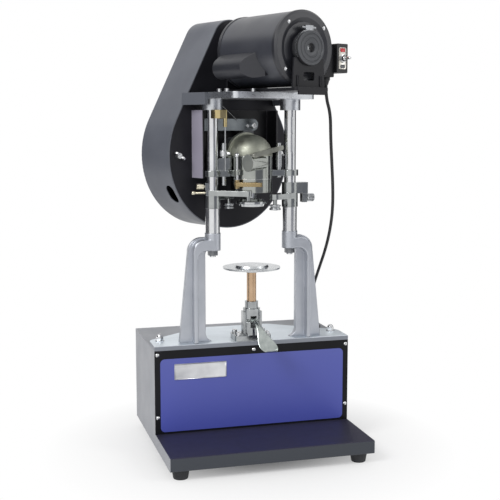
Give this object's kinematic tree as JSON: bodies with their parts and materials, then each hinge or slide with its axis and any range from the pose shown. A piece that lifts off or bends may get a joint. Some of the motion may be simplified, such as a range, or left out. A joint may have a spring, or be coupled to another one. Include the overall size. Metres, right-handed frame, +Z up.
{
  "type": "can seamer",
  "caption": "Bench can seamer: sheet-metal cabinet with cast legs and columns carrying a belt-driven seaming head over a lever-raised can table.",
  "frame": {"origin": "on the floor, under the middle of the whole machine's box (the feet's level)", "axes": "+X to the operator's right, +Y away from the operator, +Z up"},
  "size_m": [0.4, 0.393, 0.8545],
  "materials": {
    "dark_paint": "satin black paint",
    "grey_paint": "satin mid-grey paint",
    "cabinet_paint": "satin grey paint",
    "label_film": "blue printed film",
    "rubber": "matt black rubber",
    "cast_alloy": "as-cast aluminium",
    "bright_steel": "ground steel",
    "chrome": "polished hard chrome",
    "cast_iron": "machined cast iron",
    "brass": "plain brass",
    "bronze": "plain bronze",
    "black_plastic": "matt black plastic"
  },
  "bodies": {
    "frame": {"cabinet_shell": "cabinet_paint", "front_panel": "dark_paint", "front_label": "label_film", "pan_head_screws": "bright_steel", "feet": "rubber", "mains_inlet": "black_plastic", "bed": "cast_alloy", "bed_bolts": "bright_steel", "cap_screws": "bright_steel", "cord_glands": "black_plastic", "cord": "rubber", "left_leg": "cast_alloy", "right_leg": "cast_alloy", "left_column": "chrome", "right_column": "chrome", "column_nuts": "dark_paint", "clamp_arms": "bright_steel", "head_posts": "chrome", "link_bar": "bright_steel", "pedestal": "cast_alloy", "top_plate": "cast_alloy", "guard_arms": "grey_paint", "guard_channel": "grey_paint", "belt_guard": "grey_paint", "guard_front_plate": "dark_paint", "drive_belt": "rubber", "shaft_bearing": "cast_iron", "motor_shell": "dark_paint", "motor_front_bell": "dark_paint", "motor_rear_bell": "dark_paint", "cradle_rings": "rubber", "ring_clamps": "bright_steel", "motor_cradle": "dark_paint", "capacitor_cover": "dark_paint", "terminal_box": "dark_paint", "switch_box": "dark_paint", "gear_hood": "bright_steel", "head_body": "bright_steel", "steady_arm": "bright_steel", "oil_collar": "brass"},
    "motor_drive": {"motor_shaft": "bright_steel", "motor_rotor": "bright_steel", "motor_pulley": "cast_iron"},
    "main_drive": {"driven_pulley": "cast_iron", "drive_shaft": "bright_steel", "bevel_gear": "bright_steel"},
    "spindle_drive": {"spindle": "bright_steel", "chuck": "chrome"},
    "first_operation": {"first_lever": "bright_steel", "first_knob": "chrome"},
    "first_roller": {"first_roll": "chrome"},
    "second_operation": {"second_lever": "bright_steel", "second_knob": "chrome"},
    "second_roller": {"second_roll": "chrome"},
    "trip": {"trip_shaft": "chrome", "trip_arm": "bronze"},
    "lifter": {"plunger": "bronze"},
    "table": {"lifter_plate": "chrome"},
    "lift_lever": {"hand_lever": "chrome"},
    "switch_lever": {"toggle": "chrome"}
  },
  "joints": [
    {"name": "drive_spin", "type": "hinge", "parent": "frame", "child": "main_drive", "pos_m": [-0.0442, 0.09441, 0.588], "axis": [0.3746, -0.9272, 0], "continuous": true},
    {"name": "motor_spin", "type": "hinge", "parent": "frame", "child": "motor_drive", "pos_m": [-0.0442, 0.09441, 0.7855], "axis": [0.3746, -0.9272, 0], "continuous": true},
    {"name": "spindle_spin", "type": "hinge", "parent": "frame", "child": "spindle_drive", "pos_m": [0, -0.015, 0.53], "axis": [0, 0, 1], "continuous": true},
    {"name": "first_lever_swing", "type": "hinge", "parent": "frame", "child": "first_operation", "pos_m": [-0.079, -0.015, 0.5], "axis": [0, 0, -1], "range_deg": [0, 8]},
    {"name": "first_roll_spin", "type": "hinge", "parent": "first_operation", "child": "first_roller", "pos_m": [-0.039, 0.016, 0.488], "axis": [0, 0, 1], "continuous": true},
    {"name": "second_lever_swing", "type": "hinge", "parent": "frame", "child": "second_operation", "pos_m": [0.079, -0.015, 0.5], "axis": [0, 0, -1], "range_deg": [0, 8]},
    {"name": "second_roll_spin", "type": "hinge", "parent": "second_operation", "child": "second_roller", "pos_m": [0.039, -0.046, 0.488], "axis": [0, 0, 1], "continuous": true},
    {"name": "trip_swing", "type": "hinge", "parent": "frame", "child": "trip", "pos_m": [-0.038, -0.048, 0.55], "axis": [0, 0, -1], "range_deg": [0, 30]},
    {"name": "lift_slide", "type": "slide", "parent": "frame", "child": "lifter", "axis": [0, 0, 1], "range_m": [-0.00606, 0]},
    {"name": "table_spin", "type": "hinge", "parent": "lifter", "child": "table", "pos_m": [0, -0.015, 0.365], "axis": [0, 0, 1], "continuous": true},
    {"name": "hand_lever_swing", "type": "hinge", "parent": "frame", "child": "lift_lever", "pos_m": [0, -0.028, 0.26167], "axis": [-1, 0, 0], "range_deg": [0, 25]},
    {"name": "switch_flick", "type": "hinge", "parent": "frame", "child": "switch_lever", "pos_m": [0.14921, -0.12404, 0.7715], "axis": [0.9272, 0.3746, 0], "range_deg": [-14, 14]}
  ],
  "couplings": [
    {"joint": "motor_spin", "follows": "drive_spin", "ratio": 4},
    {"joint": "spindle_spin", "follows": "drive_spin", "ratio": -2},
    {"joint": "hand_lever_swing", "follows": "lift_slide", "rad_per_m": -71.998}
  ]
}
